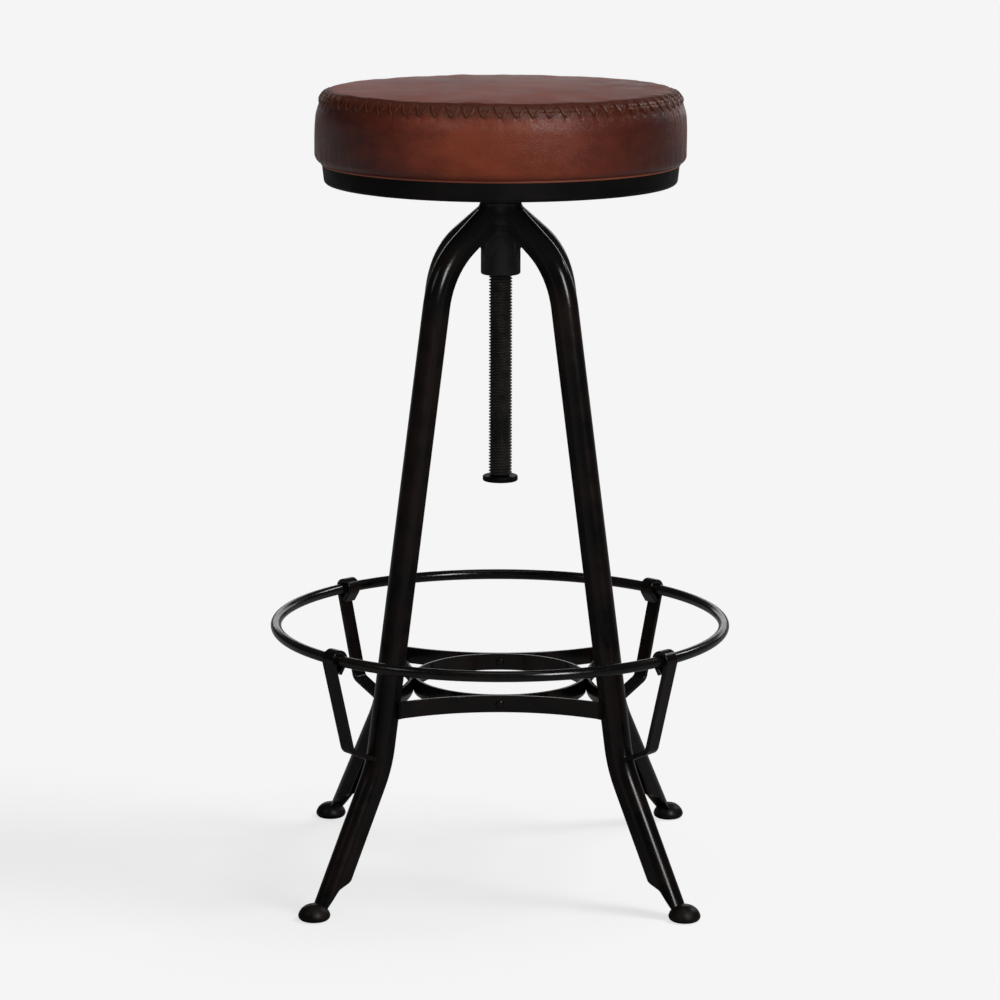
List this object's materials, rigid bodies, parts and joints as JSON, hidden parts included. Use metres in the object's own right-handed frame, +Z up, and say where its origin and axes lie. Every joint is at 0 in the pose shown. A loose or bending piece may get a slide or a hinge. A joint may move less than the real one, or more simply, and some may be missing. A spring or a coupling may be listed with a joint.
{
  "type": "swivel bar stool",
  "caption": "Backless bar stool with a round leather seat on a screw spindle, splayed channel legs, a round foot rail on curled brackets and a riveted stretcher ring.",
  "frame": {"origin": "on the floor, on the spindle's axis, midway between the four feet", "axes": "+Z up along the spindle, -Y towards the front, +X to the right as seen from the front"},
  "size_m": [0.4339, 0.434, 0.75],
  "materials": {
    "frame_metal": "semi-gloss black with a faint brown cast",
    "foot_iron": "cast and blackened, semi-gloss",
    "pan_metal": "plain satin black",
    "spindle_steel": "blackened and oiled",
    "screw_steel": "black oxide",
    "plywood": "raw birch plywood",
    "foam": "open-cell upholstery foam",
    "leather_side": "burnished pull-up leather, soft gloss",
    "leather_top": "burnished pull-up leather, soft gloss"
  },
  "bodies": {
    "frame": {"hub": "frame_metal", "leg_back_right": "frame_metal", "leg_back_left": "frame_metal", "leg_front_left": "frame_metal", "leg_front_right": "frame_metal", "foot_back_right": "foot_iron", "foot_back_left": "foot_iron", "foot_front_left": "foot_iron", "foot_front_right": "foot_iron", "rail_bracket_back_right": "frame_metal", "rail_bracket_back_left": "frame_metal", "rail_bracket_front_left": "frame_metal", "rail_bracket_front_right": "frame_metal", "foot_rail": "frame_metal", "stretcher_bar_front": "frame_metal", "stretcher_bar_right": "frame_metal", "stretcher_bar_back": "frame_metal", "stretcher_bar_left": "frame_metal", "stretcher_ring": "frame_metal", "stretcher_rivets": "frame_metal"},
    "stop_washer": {"stop_washer": "spindle_steel"},
    "seat": {"spindle": "spindle_steel", "end_screw": "screw_steel", "seat_flange": "pan_metal", "flange_screws": "screw_steel", "seat_pan": "pan_metal", "seat_board": "plywood", "cushion_foam": "foam", "cover_side": "leather_side", "cover_top": "leather_top", "cover_tacks": "screw_steel"}
  },
  "joints": [
    {"name": "seat_lift", "type": "slide", "parent": "frame", "child": "stop_washer", "axis": [0, 0, 1], "range_m": [0, 0.19]},
    {"name": "seat_spin", "type": "hinge", "parent": "stop_washer", "child": "seat", "pos_m": [0, 0, 0.38], "axis": [0, 0, 1], "range_deg": [0, 24236.2]}
  ],
  "couplings": [
    {"joint": "seat_lift", "follows": "seat_spin", "m_per_rad": 0.00044917}
  ]
}
